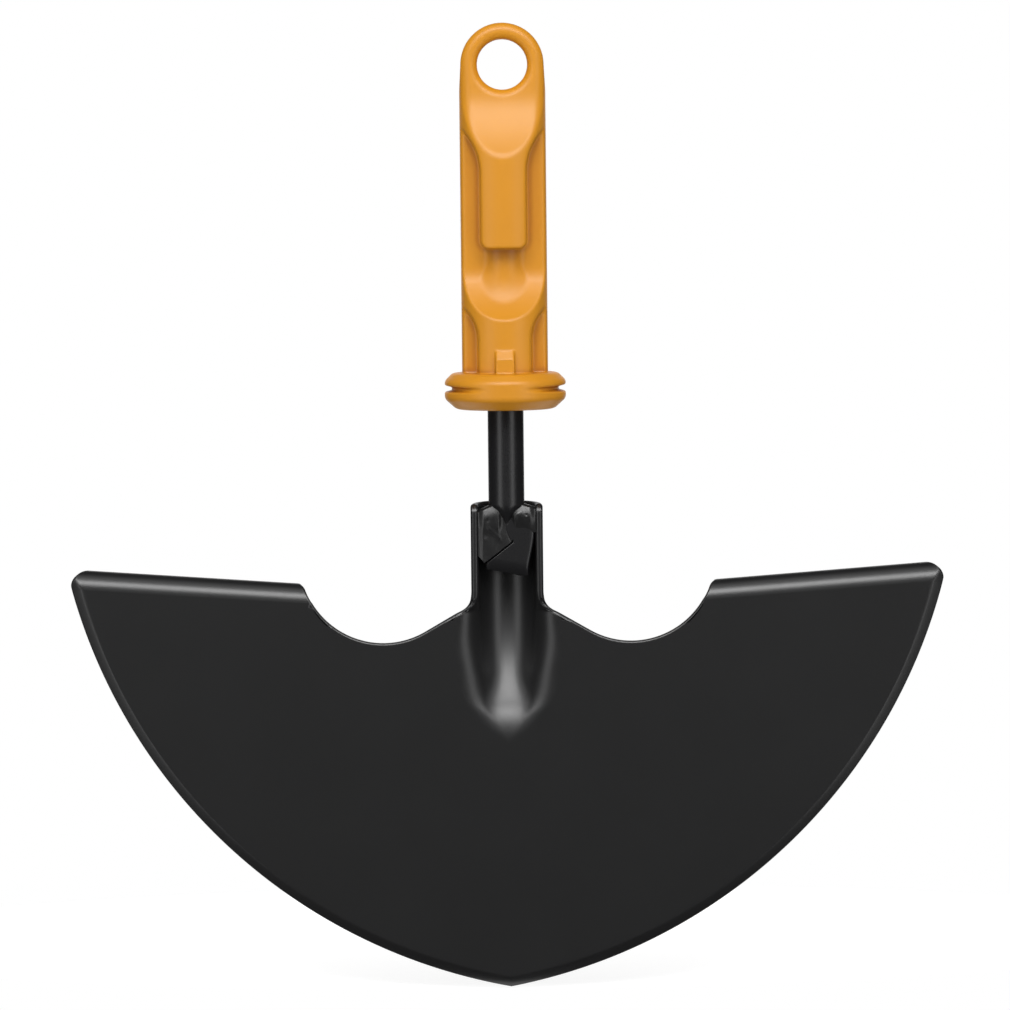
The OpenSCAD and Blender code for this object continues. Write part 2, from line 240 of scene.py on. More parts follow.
world = bpy.data.worlds.new("studio")
bpy.context.scene.world = world
world.use_nodes = True
add = node_adder(world.node_tree)
path, sight = seen(add)
way = add("TexCoord").outputs["Generated"]
parts = add("SeparateXYZ", {0: way})
backdrop = add("MapRange", {
    "Value": parts.outputs["Y"], "From Min": 0.82, "From Max": 0.97, "To Min": ROOM_GLOSS, "To Max": 1.0,
}, interpolation_type="SMOOTHSTEP")
upward = add("VectorMath", {0: way, 1: CEILING_WAY}, operation="DOT_PRODUCT")
ceiling = add("MapRange", {
    "Value": upward.outputs["Value"], "From Min": 0.60, "From Max": 0.98, "To Min": 0.0, "To Max": CEILING,
}, interpolation_type="SMOOTHSTEP")
around = add("Math", {0: backdrop, 1: ceiling}, operation="MAXIMUM")
mirrored = add("Mix", {0: path.outputs["Is Glossy Ray"], 2: ROOM, 3: around})
level = add("Mix", {0: sight, 2: mirrored, 3: 1.0})
sky = add("Background", {"Color": WHITE, "Strength": level})
add("OutputWorld", {0: sky})
print("world with", len(world.node_tree.nodes), "nodes")

# %% [markdown]
# Four soft boxes light the head: a tall strip on each side of the camera, for the soft lines down the bar
# and the groove, a broad box overhead, for what leans back, and a wide dim one behind, in place of the
# backdrop's light.

# %% Lamps
LAMP_AIM = Vector((0, 0, -0.03))


def soft_box(name, place, width, height, watts):
    """A rectangular lamp at place that faces the aim point, both in metres."""
    lamp = bpy.data.lights.new(name, "AREA")
    lamp.shape = "RECTANGLE"
    lamp.size, lamp.size_y, lamp.energy = width, height, watts
    box = new_object(name, lamp)
    turned = (Vector(place) - LAMP_AIM).to_track_quat("Z", "Y")
    box.matrix_world = Matrix.Translation(place) @ turned.to_matrix().to_4x4()
    print(name, width, "by", height, "m,", watts, "W")
    return box


for name, side in (("left_strip", -0.70), ("right_strip", 0.70)):
    soft_box(name, (side, -0.80, -0.05), width=0.42, height=1.3, watts=1.9)
soft_box("top_box", (0.0, -0.78, 0.64), width=1.0, height=0.46, watts=8.2)
back_fill = soft_box("back_fill", (0.0, 0.95, 0.50), width=1.8, height=1.0, watts=8.5)
back_fill.visible_glossy = False

# %% [markdown]
# The steel parts wear a satin black powder coat, with a faint ripple about a millimetre long and a finer
# grain. Both are noise in object coordinates, for the bump and the roughness, and a slow third noise shifts
# the black, so that no face is one flat colour.

# %% Black coats
GRAIN_RANGE = 0.05


def noise(add, scale, detail, rough=0.5):
    """The level of a noise in object coordinates."""
    place = add("TexCoord").outputs["Object"]
    cloud = add("TexNoise", {"Vector": place, "Scale": scale, "Detail": detail, "Roughness": rough})
    return cloud.outputs["Fac"]


def mixed(add, share, first, second):
    """A colour between two colours, by a share from 0 to 1."""
    return add("Mix", {0: share, 6: first, 7: second}, data_type="RGBA").outputs[2]


def satin_skin(add, colour, grain, rough, bumps, tall, gloss):
    """Ends a material: a colour, a grain that varies the roughness, and bumps of a height in mm."""
    sheen = add("MapRange", {"Value": grain, "From Min": 0.3, "From Max": 0.7,
                             "To Min": rough - GRAIN_RANGE, "To Max": rough + GRAIN_RANGE})
    wave = add("Bump", {"Height": bumps, "Strength": 1.0, "Distance": tall * MM})
    skin = add("BsdfPrincipled", {
        "Base Color": colour, "Roughness": sheen, "Normal": wave, "Specular IOR Level": gloss})
    add("OutputMaterial", {"Surface": skin})


def black_coat(name, dark, light, rough, ripple):
    """Satin powder coat between two near blacks, with a base roughness and a ripple height in mm."""
    material, add = new_material(name)
    shade = mixed(add, noise(add, 45.0, 3.0, 0.55), (*dark, 1), (*light, 1))
    grain, peel = noise(add, 5200.0, 1.0), noise(add, 900.0, 2.0)
    satin_skin(add, shade, grain, rough, peel, tall=ripple, gloss=0.85)
    return material


blade_coat = black_coat(
    "black_blade_coat", (0.0074, 0.0074, 0.0077), (0.0104, 0.0104, 0.0108), rough=0.34, ripple=0.006)
bar_coat = black_coat(
    "black_bar_coat", (0.0060, 0.0059, 0.0066), (0.0084, 0.0083, 0.0092), rough=0.32, ripple=0.005)
weld_coat = black_coat(
    "black_weld_coat", (0.0070, 0.0070, 0.0072), (0.0105, 0.0105, 0.0107), rough=0.34, ripple=0.02)

# %% [markdown]
# The plug is orange plastic with a lightly etched mould finish. The colour wanders between two oranges, and
# one fine grain drives the bump and the roughness, so that broad highlights stay soft. In the hollows a
# painted shade darkens the orange, by an attribute of the mesh.

# %% Orange plastic
ORANGES = (0.612, 0.243, 0.0056, 1), (0.686, 0.276, 0.0073, 1)
# painted shade: the darker orange for the hollows, and the largest share of it that is mixed in
SHADED_ORANGE, DEEPEST_SHADE = (0.40, 0.115, 0.0015, 1), 0.75

orange, add = new_material("orange_moulding")
hue = mixed(add, noise(add, 70.0, 4.0, 0.6), *ORANGES)
# painted shade: the hollow attribute mixes the darker orange into the colour where the plug is hollow
hollow = add("Attribute", attribute_name="hollow")
depth = add("Math", {0: hollow.outputs["Fac"], 1: DEEPEST_SHADE}, operation="MULTIPLY")
etch = noise(add, 2600.0, 2.0)
satin_skin(add, mixed(add, depth, hue, SHADED_ORANGE), etch, rough=0.40, bumps=etch, tall=0.01, gloss=0.58)

# %% [markdown]
# The blade is one pressed sheet, 2 mm thick. Its front is a set of grids that share their borders: a
# channel down the middle, a wing on each side, a narrow bevel along the cutting arcs and a tread rolled
# back along each top edge. A sculpted plate would also do, but grids keep every edge where the press and
# the grinder put it. The groove comes first.

# %% Sizes of the blade
SHEET, FACE_Y = 2.0, -2.5
CHAN_R = 7.55
NECK_Z, CLIMB_Z, GROOVE_DEEP = -34.6, -60.0, 10.05
CLIMB_R, EASE_R = 57.0, 20.0
CLIMB_TURN = math.acos(1 - GROOVE_DEEP / (CLIMB_R + EASE_R))
EASE_Z = CLIMB_Z - CLIMB_R * math.sin(CLIMB_TURN)
GROOVE_END = EASE_Z - EASE_R * math.sin(CLIMB_TURN)
FILLET, FILLET_R = np.array([15.85, -57.63]), 6.3
SHOULDER = math.radians(30)
SCALLOP, SCALLOP_R = np.array([32.8, -49.4]), 21.9
ARC, ARC_R = np.array([-26.4, -19.2]), 146.4
BEVEL_W, BEVEL_DEEP = 2.6, 1.2
CREASE_R = ARC_R - BEVEL_W
SEAM_X = 16.0
SEAM_TOP = FILLET[1] - FILLET_R * math.cos(SHOULDER) - (
    SEAM_X - FILLET[0] + FILLET_R * math.sin(SHOULDER)) * math.tan(SHOULDER)


def groove_depth(z):
    """Depth of the groove's floor behind the face: constant down the neck, then less along an arc that
    climbs towards the face and one of the other hand that eases out into it."""
    fall = np.clip(CLIMB_Z - z, 0, CLIMB_Z - EASE_Z)
    climb = GROOVE_DEEP - CLIMB_R + np.sqrt(CLIMB_R**2 - fall**2)
    to_go = np.clip(z - GROOVE_END, 0, EASE_Z - GROOVE_END)
    return np.where(z > EASE_Z, climb, EASE_R - np.sqrt(EASE_R**2 - to_go**2))


def outline_x(z):
    """Half width of the sheet from the neck's top to the shoulder: straight leg, fillet arc, slope."""
    fall = np.clip(FILLET[1] - z, 0, FILLET_R * math.cos(SHOULDER))
    arc = FILLET[0] - np.sqrt(FILLET_R**2 - fall**2)
    past = np.maximum(FILLET[1] - FILLET_R * math.cos(SHOULDER) - z, 0)
    return arc + past / math.tan(SHOULDER)


print("groove ends at z", round(GROOVE_END, 2), "and the seam starts at z", round(SEAM_TOP, 2))

# %% [markdown]
# Across the blade the groove is an arc for its floor, an arc of the other hand that rolls over into the
# face, and a straight. Towards its lower end both arcs grow, so it runs out in a broad shallow dish.

# %% Cross sections of the channel
FLOOR_GROWS = (-79, 14, 7.5)
BOTH_RADII = 14.0
BOTH_GROW = ((-63, 10, 2.5), (-76, 18, 9.0), (-89, 9, 34.0))
LEAST_SINE = 1e-6


def smooth(t):
    """An S curve from 0 to 1 over the unit range of t."""
    t = np.clip(t, 0, 1)
    return t * t * (3 - 2 * t)


def once_above(value, start, length):
    """0 up to start, and 1 from length above it, with an S curve between."""
    return smooth((value - start) / length)


def once_below(value, start, length):
    """0 down to start, and 1 from length below it, with an S curve between."""
    return smooth((start - value) / length)


def radii(z):
    """Radii of the groove's floor and of the roll-over at its rims. The first and the sum of both grow in
    steps of a start height, a length and a gain."""
    start, length, gain = FLOOR_GROWS
    floor_r = CHAN_R + gain * once_below(z, start, length)
    both = BOTH_RADII
    for start, length, gain in BOTH_GROW:
        both = both + gain * once_below(z, start, length)
    return floor_r, both - floor_r


def roll_out(depth, share, floor_r, roll_r):
    """Half a cross section. The floor's arc turns up by rise, the roll-over turns back by share of what a
    flat rim needs, and a straight runs on until it is level with the face."""
    full = np.arccos(np.clip(1 - depth / (floor_r + roll_r), -1, 1))
    rise = np.pi / 2 - (np.pi / 2 - full) * smooth(share)
    lean = rise - full * share
    step = depth - floor_r + floor_r * np.cos(rise) - roll_r * (np.cos(lean) - np.cos(rise))
    run = np.maximum(step, 0) / np.maximum(np.sin(lean), LEAST_SINE)
    edge = floor_r * np.sin(rise) + roll_r * (np.sin(rise) - np.sin(lean)) + run * np.cos(lean)
    return rise, lean, run, edge


print("radii of floor and rim in the neck:", *radii(NECK_Z))

# %% [markdown]
# Between the neck and the plate the legs twist outwards: the roll-over grows from nothing to all of it. How
# much a height has follows from the outline, where the edge of the sheet must come out.

# %% Channel
CHANNEL_COLUMNS, SAMPLES = 44, 200
LEG_HALF, SEAM_LAP, EDGE_GAP = 9.56, 0.2, 1.5
FLARE_Z, FLARE_COUNT = -57.7, 22
CHANNEL_END, GROOVE_STEP, GROOVE_COUNT = -100.0, 1.0, 54
NECK_STEPS = np.array([0, .85, 1.3, 1.8, 2.4, 3.1, 4, 5.5, 7.5, 9.5, 12, 14.5, 17, 19.5, 21.5, 22.6])


def edge_share(z, depth, wide, floor_r, roll_r):
    """The share of the roll-over that brings the sheet's rear edge to the half width wide: none on the
    straight legs, and all of it below the seam's top."""
    shares = np.linspace(0, 1, SAMPLES)[None, :]
    _, lean, _, edge = roll_out(depth, shares, floor_r, roll_r)
    reach = edge + SHEET * np.sin(lean)
    low = np.clip((reach < wide).sum(1, keepdims=True) - 1, 0, SAMPLES - 2)
    here = np.take_along_axis(reach, low, 1)
    there = np.take_along_axis(reach, low + 1, 1)
    share = np.clip((low + (wide - here) / (there - here)) / (SAMPLES - 1), 0, 1)
    share = np.where((z > FILLET[1]) & (wide < LEG_HALF), 0, share)
    return np.where(z < SEAM_TOP + SEAM_LAP, 1, share)


def channel_grid(z, columns):
    """Front and back points of the channel at heights z. Each cross section is sampled along its length,
    from the middle to the sheet's edge or the seam, and the back lies one sheet thickness behind, square to
    it."""
    z = z[:, None]
    depth, wide = groove_depth(z), outline_x(z)
    floor_r, roll_r = radii(z)
    share = edge_share(z, depth, wide, floor_r, roll_r)
    rise, lean, run, edge = roll_out(depth, share, floor_r, roll_r)
    run = np.where(share >= 1, np.maximum(np.minimum(wide, SEAM_X) - edge, 0), run)
    floor_len, roll_len = floor_r * rise, roll_r * (rise - lean)
    steps = np.append(np.linspace(0, 1, columns - 1), 1.0)[None, :]
    s = steps * (floor_len + roll_len + run - EDGE_GAP)
    s[:, -1:] += EDGE_GAP
    a = np.minimum(s, floor_len) / floor_r
    b = rise - np.clip(s - floor_len, 0, roll_len) / roll_r
    c = np.maximum(s - floor_len - roll_len, 0)
    x = floor_r * np.sin(a) + roll_r * (np.sin(rise) - np.sin(b)) + c * np.cos(lean)
    y = FACE_Y + depth - floor_r + floor_r * np.cos(a)
    y = y - roll_r * (np.cos(b) - np.cos(rise)) - c * np.sin(lean)
    tilt = np.where(s < floor_len, a, b)
    front = xyz(x, y, z)
    return front, front + SHEET * xyz(np.sin(tilt), np.cos(tilt), 0)


neck_rows = NECK_Z - NECK_STEPS
flare_rows = np.linspace(FLARE_Z, SEAM_TOP, FLARE_COUNT)[:-1]
groove_rows = np.append(SEAM_TOP, np.linspace(SEAM_TOP - GROOVE_STEP, CHANNEL_END, GROOVE_COUNT))
channel_rows = np.concatenate([neck_rows, flare_rows, groove_rows])
channel, channel_back = channel_grid(channel_rows, CHANNEL_COLUMNS)
print("channel", channel.shape)

# %% [markdown]
# The legs' front corners are rounded, and the neck's rim falls a little towards the front. Both are drops
# in height that fade out down the neck.

# %% Top of the neck
LEG_CORNER, TOP_FADE = 1.6, 5
TOP_FALL, TOP_RISE = 0.45, 0.25

from_face = channel[..., 1] - FACE_Y
near_lip = np.clip(LEG_CORNER - from_face, 0, LEG_CORNER)
top_fade = np.clip(1 - (NECK_Z - channel[..., 2]) / TOP_FADE, 0, 1)
drop = (LEG_CORNER - np.sqrt(LEG_CORNER**2 - near_lip**2)) * top_fade
drop = drop + (TOP_FALL * np.clip(1 - from_face / GROOVE_DEEP, 0, 1) - TOP_RISE) * top_fade
channel[..., 2] -= drop
channel_back[..., 2] -= drop
print("the neck's top drops by up to", drop.max().round(2), "mm")

# %% [markdown]
# Below the groove the middle is flat, down to a crease along both cutting arcs, where the ground bevel
# starts. The arcs meet in a point at the tip, so the bevel's cross lines stand upright there and fan out to
# the arcs' own radii by the seam.

# %% Lower middle and its bevel
BEVEL_STEPS = np.array([0, 0.12, 0.25, 0.4, 0.55, 0.7, 0.85, 1.0])
BEVEL_POWER = 1.1
MIDDLE_ROWS, MIDDLE_EVEN, MIDDLE_LAST = 34, 0.985, [0.994, 1.0]


def on_arc(angle, radius):
    """Points of a circle round the right cutting arc's centre, as x and z."""
    return ARC[0] + radius * np.cos(angle), ARC[1] + radius * np.sin(angle)


def bevel_grid(x0, z0, x1, z1):
    """The ground bevel from a crease to an edge: it falls back a little faster towards the edge."""
    s = BEVEL_STEPS[:, None]
    return xyz(x0 + (x1 - x0) * s, FACE_Y + BEVEL_DEEP * s**BEVEL_POWER, z0 + (z1 - z0) * s)


col_x = channel[-1, :, 0]
col_angle = -np.arccos((col_x - ARC[0]) / CREASE_R)
crease_z = on_arc(col_angle, CREASE_R)[1]
down = np.concatenate([np.linspace(0, MIDDLE_EVEN, MIDDLE_ROWS)[1:], MIDDLE_LAST])[:, None]
flat_z = channel[-1, :, 2] + (crease_z - channel[-1, :, 2]) * down
middle = np.concatenate([channel[-1:], xyz(col_x, FACE_Y, flat_z)])

tip_turn = -np.arccos(-ARC[0] / ARC_R) + np.arccos(-ARC[0] / CREASE_R)
edge_angle = col_angle + tip_turn * (1 - col_x / SEAM_X)
edge_x, edge_z = on_arc(edge_angle, ARC_R)
tip_bevel = bevel_grid(col_x, crease_z, edge_x, edge_z)
print("tip at z", edge_z[0].round(2))

# %% [markdown]
# A wing's top border runs down the shoulder, round the scallop and along the start of the tread's bend. The
# tread's top line slopes a little, so points by it are given along that line and above it.

# %% Top border of the wing
TREAD_O = np.array([53.80, -55.6])
TREAD_SLOPE = math.radians(4.1)
TREAD_U = np.array([math.cos(TREAD_SLOPE), math.sin(TREAD_SLOPE)])
TREAD_N = np.array([-TREAD_U[1], TREAD_U[0]])
BEND_R, TREAD_DEPTH, CORNER_R = 4.8, 11.0, 3.7
SHOULDER_COUNT, SCALLOP_COUNT, BEND_COUNT = 8, 40, 60


def to_tread(p):
    """Coordinates of points along and above the tread's top line."""
    return (p - TREAD_O) @ TREAD_U, (p - TREAD_O) @ TREAD_N


def line_meets(centre, radius, n):
    """Where a line at height n above the tread's top line meets a circle on its outer side."""
    cu, cn = to_tread(centre)
    return cu + np.sqrt(radius**2 - (n - cn) ** 2)


def angle_of(way):
    """The angle of a way given as x and z."""
    return math.atan2(way[1], way[0])


bend_from, bend_to = line_meets(SCALLOP, SCALLOP_R, -BEND_R), line_meets(ARC, CREASE_R, -BEND_R)
bend_u = np.linspace(bend_from, bend_to, BEND_COUNT)
bend_line = TREAD_O + bend_u[:, None] * TREAD_U - BEND_R * TREAD_N
scallop_in = SCALLOP - SCALLOP_R * np.array([math.sin(SHOULDER), math.cos(SHOULDER)])
sweep = np.linspace(angle_of(scallop_in - SCALLOP), angle_of(bend_line[0] - SCALLOP), SCALLOP_COUNT)
scallop_line = SCALLOP + SCALLOP_R * np.stack([np.cos(sweep), np.sin(sweep)], -1)
shoulder_line = np.linspace([SEAM_X, SEAM_TOP], scallop_in, SHOULDER_COUNT)
top = np.concatenate([shoulder_line[:-1], scallop_line[:-1], bend_line])
print("top border", len(top), "points")

# %% [markdown]
# A wing lies between four lines: the seam with the middle, that top border, the crease along the cutting
# arc and a last stretch of the crease. A Coons patch fills them: the two straight blends between opposite
# lines, less the blend of the four corners.

# %% Wing
SIDE_LEN = 22.0

travelled = np.concatenate([[0], np.cumsum(np.linalg.norm(np.diff(top, axis=0), axis=1))])
u = (travelled / travelled[-1])[None, :, None]
seam = np.concatenate([groove_rows, middle[1:, -1, 2]])
v = ((seam - seam[0]) / (seam[-1] - seam[0]))[:, None, None]
seam_line = np.stack([np.full(len(seam), SEAM_X), seam], -1)
side_top = angle_of(top[-1] - ARC)
side_foot = side_top - SIDE_LEN / CREASE_R
foot_angle = col_angle[-1] + (side_foot - col_angle[-1]) * u[0, :, 0]
side_angle = side_top + (side_foot - side_top) * v[:, 0, 0]
foot = np.stack(on_arc(foot_angle, CREASE_R), -1)
side = np.stack(on_arc(side_angle, CREASE_R), -1)
flat = ((1 - v) * top[None] + v * foot[None] + (1 - u) * seam_line[:, None] + u * side[:, None]
        - (1 - u) * (1 - v) * top[0] - u * (1 - v) * top[-1] - (1 - u) * v * foot[0] - u * v * foot[-1])
wing = xyz(flat[..., 0], FACE_Y, flat[..., 1])
print("wing", wing.shape)

# %% [markdown]
# The bevel goes on along the wing's foot and side. At the outer end the cutting arc turns into the tread's
# rounded corner, so edge points past the corner's circle are pulled onto it.

# %% Bevel of the wing
CORNER_BELOW = 1.2

corner_u = line_meets(ARC, ARC_R - CORNER_R, -CORNER_R)
corner = TREAD_O + corner_u * TREAD_U - CORNER_R * TREAD_N
rim_angle = np.concatenate([foot_angle, side_angle[::-1][1:]])
rim_edge = np.stack(on_arc(rim_angle, ARC_R), -1)
from_corner = rim_edge - corner
corner_gap = np.linalg.norm(from_corner, axis=1, keepdims=True)
by_corner = (to_tread(rim_edge)[1] > -CORNER_R - CORNER_BELOW)[:, None]
pulled = corner + CORNER_R * from_corner / corner_gap
rim_edge = np.where(by_corner & (corner_gap > CORNER_R), pulled, rim_edge)
rim_crease = np.stack(on_arc(rim_angle, CREASE_R), -1)
wing_bevel = bevel_grid(rim_crease[:, 0], rim_crease[:, 1], rim_edge[:, 0], rim_edge[:, 1])
print("bevel", wing_bevel.shape)

# %% [markdown]
# The treads are the top edges, rolled back a little past a right angle for a boot to push on. Each is a
# profile, an arc and then a flat, carried along the bend line. Its inner end follows the scallop and its
# outer end the rounded corner, so every row has its own start and end.

# %% Tread
DROOP = math.radians(5)
INNER_R = 1.1
BEND_ROWS, FLANGE_ROWS = 15, 8
END_ROUND, END_SHARE, END_LEAN = 5.5, 0.96, 1.5


def rear_plane(grid):
    """The back of a flat part of the sheet: the same points, on the sheet's rear plane."""
    return grid * np.array([1, 0, 1]) + np.array([0, FACE_Y + SHEET, 0])


bend = np.linspace(0, np.pi / 2 + DROOP, BEND_ROWS)
rise, back = BEND_R * (np.sin(bend) - 1), BEND_R * (1 - np.cos(bend))
flange = np.linspace(back[-1], TREAD_DEPTH, FLANGE_ROWS)[1:]
rise = np.concatenate([rise, rise[-1] - (flange - back[-1]) * math.tan(DROOP)])
back = np.concatenate([back, flange])
tilt = np.concatenate([bend, np.full(len(flange), bend[-1])])
dip = np.where(back < BEND_R, np.clip(rise + INNER_R, 0, INNER_R), INNER_R)
starts = line_meets(SCALLOP, SCALLOP_R, rise) + INNER_R - np.sqrt(INNER_R**2 - dip**2)
round_off = np.clip((back - BEND_R) / (TREAD_DEPTH - BEND_R), 0, 1)
corner_out = np.sqrt(np.maximum(CORNER_R**2 - (rise + CORNER_R) ** 2, 0))
ends = corner_u + np.where(back < BEND_R, corner_out, 0)
ends = ends - END_ROUND * (1 - np.sqrt(1 - (END_SHARE * round_off) ** 2)) - END_LEAN * round_off
rim_last = wing_bevel[1:, -1]
first_row = np.concatenate([bend_u, to_tread(rim_last[:, [0, 2]])[0]])
row_share = (first_row - first_row[0]) / (first_row[-1] - first_row[0])
along = starts[:, None] + (ends - starts)[:, None] * row_share
set_back = np.concatenate([np.full(len(bend_u), FACE_Y), rim_last[:, 1]])


def tread_grid(height, y):
    """Points of the rolled tread: heights over its top line, carried along it to each row's ends."""
    flat_xz = TREAD_O + along[..., None] * TREAD_U + height[:, None, None] * TREAD_N
    return xyz(flat_xz[..., 0], y, flat_xz[..., 1])


tread = tread_grid(rise, np.maximum(FACE_Y + back[:, None], set_back[None, :]))
tread[0, len(bend_u):] = rim_last
tread_back = tread_grid(rise - SHEET * np.sin(tilt), (FACE_Y + back + SHEET * np.cos(tilt))[:, None])
tread_back[0, len(bend_u):] = rear_plane(rim_last)
print("tread", tread.shape)

# %% [markdown]
# Behind every grid lies its twin, one sheet thickness back, and a strip along the outline closes the shell.
# Solidify would follow the bent surface's own slope, and the edge would wander where the legs twist into
# the plate. The left half is the right one, mirrored.

# %% Blade
last_leg = len(neck_rows) + len(flare_rows) + 1
to_bend = len(top) - len(bend_line) + 1


def outline(grids):
    """The sheet's border as a list of lines: neck top, leg, scallop, tread, cutting arc and tip."""
    channel, _, tip, wing, rim, tread = grids
    return [channel[0], channel[:last_leg, -1], wing[0, :to_bend], tread[:, 0], tread[-1], tread[:, -1],
            rim[-1], tip[-1]]


plates = [middle, tip_bevel, wing, wing_bevel]
fronts = [channel, *plates, tread]
backs = [channel_back, *map(rear_plane, plates), tread_back]
edges = [np.stack(pair) for pair in zip(outline(fronts), outline(backs))]
right = fronts + backs + edges
left = [g * np.array([-1.0, 1.0, 1.0]) for g in right]
blade = make_piece("blade", join(right + left), "blade", blade_coat)

# %% [markdown]
# Cut edges of sheet are never quite sharp, and the coat rounds them more. Bevel breaks the steep edges by a
# weight: most on the neck's legs, less on treads and scallops, least on the ground edge.

# %% Broken edges
SHARP = math.radians(48)
BREAK, BREAK_STEPS = 0.9, 5
LEG_WEIGHT, CUT_WEIGHT, GROUND_WEIGHT = 1.0, 0.72, 0.25
LEG_REACH, LEG_LOW, GROUND_BAND = 17, -66, 0.6

mesh = blade.data
pairs = np.empty(len(mesh.edges) * 2, int)
mesh.edges.foreach_get("vertices", pairs)
mid = (read_points(mesh, "co") / MM)[pairs.reshape(-1, 2)].mean(1)
bm = bmesh.new()
bm.from_mesh(mesh)
sharp = np.array([len(e.link_faces) == 2 and e.calc_face_angle() > SHARP for e in bm.edges])
bm.free()
on_ground = np.hypot(np.abs(mid[:, 0]) - ARC[0], mid[:, 2] - ARC[1]) > ARC_R - GROUND_BAND
on_leg = (np.abs(mid[:, 0]) < LEG_REACH) & (mid[:, 2] > LEG_LOW)
weights = np.where(on_ground, GROUND_WEIGHT, np.where(on_leg, LEG_WEIGHT, CUT_WEIGHT))
edge_weight = mesh.attributes.new("bevel_weight_edge", "FLOAT", "EDGE")
edge_weight.data.foreach_set("value", np.where(sharp, weights, 0.0))
broken = blade.modifiers.new("broken edges", "BEVEL")
broken.width, broken.segments, broken.limit_method = BREAK * MM, BREAK_STEPS, "WEIGHT"
broken.use_clamp_overlap = False
broken.harden_normals = True
print("broken edges:", sharp.sum())

# %% [markdown]
# The bar is a round rod whose lower end is forged flat between the channel's legs. One cross section turns
# into the other: a superellipse, a circle at power 2 and nearly a rectangle at power 9. The round runs out
# over the flat as a ridge, like the end of a pencil. The flat gets narrower downwards, starts wider on its
# right, and ends in a slant.

# %% Forms of the bar
ROD_R = 4.75
ROUND_POWER, FLAT_POWER = 2, 9
SPADE_HALF, SPADE_THICK = 6.8, 2.5
SPREAD, NARROW, WIDER, SLANTS = (-36.8, 4.2), (-41.5, 11), (-42, 10), (-42, 8)
THIN_LEN, NARROW_BY, WIDER_BY, SLANT = 2.6, 1.2, 0.55, 0.17
RIDGE_Z, RIDGE_LEN, RIDGE_HALF = -34.8, 6.2, 4.7
RIDGE_POWER, RIDGE_LEAST = 0.9, 0.02
SPADE_FALL, SPADE_END, END_THINNER = -49.4, -52.8, 0.95
LAP_AT, LAP_SLOPE = (-5.95, -50.2), 0.77
SLOT_BELOW, SLOT_HALF, SLOT_DEEP = 0.20, 0.24, 0.9
SLOT_MID, SLOT_REACH = -2.2, 3.9


def ridge(x, z):
    """How far the round stands out over the flat: the circle, squeezed and lowered as it runs out."""
    t = np.clip((RIDGE_Z - z) / RIDGE_LEN, 0, 1)
    squeeze = np.maximum((1 - t) ** RIDGE_POWER, RIDGE_LEAST)
    crown = ROD_R - (ROD_R - SPADE_THICK) * smooth(t)
    return np.where(t < 1, crown - ROD_R + np.sqrt(np.maximum(ROD_R**2 - (x / squeeze) ** 2, 0)), 0)


def bar_grid(z, turn):
    """Cross sections at heights z, sampled at the angles turn. Half width, half thickness and power run
    from the round bar to the flat, which falls back to a slanting end and has a narrow slot where the left
    weld's tongue laps it."""
    z = z[:, None]
    c, s = np.cos(turn), np.sin(turn)
    thin, spread = once_below(z, RIDGE_Z, THIN_LEN), once_below(z, *SPREAD)
    half = ROD_R + (SPADE_HALF - NARROW_BY * once_below(z, *NARROW) - ROD_R) * spread
    half = half + WIDER_BY * spread * (1 - once_below(z, *WIDER)) * (c > 0)
    to_end = np.clip((SPADE_FALL - z) / (SPADE_FALL - SPADE_END), 0, 1)
    thick = ROD_R + (SPADE_THICK - ROD_R) * thin - END_THINNER * to_end**2
    power = ROUND_POWER + (FLAT_POWER - ROUND_POWER) * spread
    x = half * c
    y = thick * np.maximum(1 - np.abs(c) ** power, 0) ** (1 / power)
    ridged = np.maximum(y, np.where(np.abs(x) < RIDGE_HALF, ridge(x, z), 0))
    y = np.where(z < RIDGE_Z, ridged, y) * np.sign(s)
    z = z - SLANT * x * once_below(z, *SLANTS)
    under_lap = (LAP_AT[1] - SLOT_BELOW + LAP_SLOPE * (x - LAP_AT[0]) - z) / math.hypot(1, LAP_SLOPE)
    slot = np.exp(-(under_lap / SLOT_HALF) ** 4) * (np.abs(x - SLOT_MID) < SLOT_REACH) * (y < 0)
    return xyz(x, y + SLOT_DEEP * slot, z)


print("the spade is", 2 * SPADE_HALF, "by", 2 * SPADE_THICK, "mm")

# %% [markdown]
# Near its top the bar has two anchor grooves that hold the moulded plug. They are hidden, and a guess. The
# rows stand close where the form changes, and each end closes in a pole.

# %% Bar
BAR_TURNS = 320
BAR_TOP, TOP_SHARE = 62.0, 0.84
ANCHOR = 0.83
FACE_RINGS, FACE_DROP = [0.995, 0.9, 0.6], 0.06

turn = full_turn(BAR_TURNS)
anchor_z = [61.2, 56.8, 56.4, 54.0, 53.6, 44.8, 44.4, 42.0, 41.6]
anchor_r = [1, 1, ANCHOR, ANCHOR, 1, 1, ANCHOR, ANCHOR, 1]
plain_z = [2.0, -8.0, -14.0, -20.0, -26.0, -31.0]
spade_z = np.concatenate([np.linspace(-34.0, -43.0, 60), np.linspace(-43.1, SPADE_END, 98)])
bar = bar_grid(np.concatenate([anchor_z, plain_z, spade_z]), turn)
bar[:len(anchor_z), :, :2] *= np.array(anchor_r)[:, None, None]
shrink = np.array(FACE_RINGS)[:, None, None]
low_rings = bar[-1:] * np.concatenate([shrink, shrink, 0 * shrink + 1], -1) - np.array([0, 0, FACE_DROP])
top_ring = bar[:1] * np.array([TOP_SHARE, TOP_SHARE, 0]) + np.array([0, 0, BAR_TOP])
top_pole = top_ring * np.array([0, 0, 1.0])
low_pole = low_rings[-1:] * 0 + low_rings[-1:].mean((0, 1))
bar = np.concatenate([top_pole, top_ring, bar, low_rings, low_pole])
make_piece("tang_rod", join([bar], wrap=True), "tang_rod", bar_coat)

